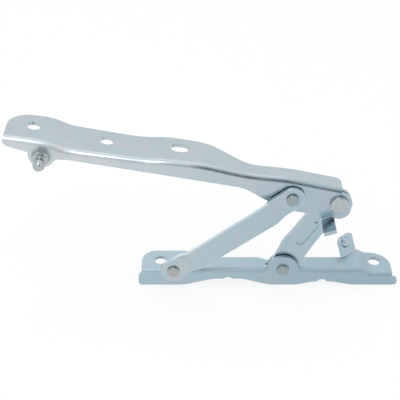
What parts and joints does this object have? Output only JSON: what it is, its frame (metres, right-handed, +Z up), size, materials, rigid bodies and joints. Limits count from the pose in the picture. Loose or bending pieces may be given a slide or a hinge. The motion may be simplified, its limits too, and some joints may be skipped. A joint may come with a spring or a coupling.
{
  "type": "car bonnet hinge",
  "caption": "Folded-steel bonnet hinge: an angle base and a long bonnet arm joined by a joggled front link and a ribbed rear link on rivets, with a ball stud for the lift strut.",
  "frame": {"origin": "centre of the front body bolt hole, on the underside of the base bracket that sits on the car body", "axes": "+X along the base towards the end with the upright ear, +Y from the web's outer face towards the flanges, +Z up from the body seat"},
  "size_m": [0.33, 0.0573, 0.1535],
  "materials": {
    "zinc_plate": "bright zinc plating with a faint blue cast on folded sheet steel",
    "rivet_steel": "bare and lightly plated turned steel",
    "bush_bronze": "dull sintered bronze"
  },
  "bodies": {
    "base": {"base_bracket": "zinc_plate", "front_lower_rivet": "rivet_steel", "rear_lower_rivet": "rivet_steel", "rear_lower_bush": "bush_bronze", "rear_lower_washer": "zinc_plate"},
    "front_link": {"front_link": "zinc_plate", "front_lower_bush": "bush_bronze", "front_upper_bush": "bush_bronze"},
    "bonnet_arm": {"bonnet_arm": "zinc_plate", "front_upper_rivet": "rivet_steel", "rear_upper_rivet": "rivet_steel", "ball_stud": "rivet_steel", "ball_stud_nut": "zinc_plate"},
    "rear_link": {"rear_link": "zinc_plate", "rear_upper_bush": "bush_bronze"}
  },
  "joints": [
    {"name": "front_link_pivot", "type": "hinge", "parent": "base", "child": "front_link", "pos_m": [0.0117, -0.0137, 0.0053], "axis": [0, -1, 0], "range_deg": [-8, 22]},
    {"name": "arm_pivot", "type": "hinge", "parent": "front_link", "child": "bonnet_arm", "pos_m": [0.111, -0.0137, 0.08205], "axis": [0, -1, 0], "range_deg": [-48.7, 17.75]},
    {"name": "rear_link_pivot", "type": "hinge", "parent": "bonnet_arm", "child": "rear_link", "pos_m": [0.15051, -0.0137, 0.07411], "axis": [0, -1, 0], "range_deg": [-20.9, 57.35]}
  ],
  "couplings": [
    {"joint": "arm_pivot", "follows": "front_link_pivot", "ratio": -2.2117},
    {"joint": "rear_link_pivot", "follows": "front_link_pivot", "ratio": 2.6045}
  ]
}
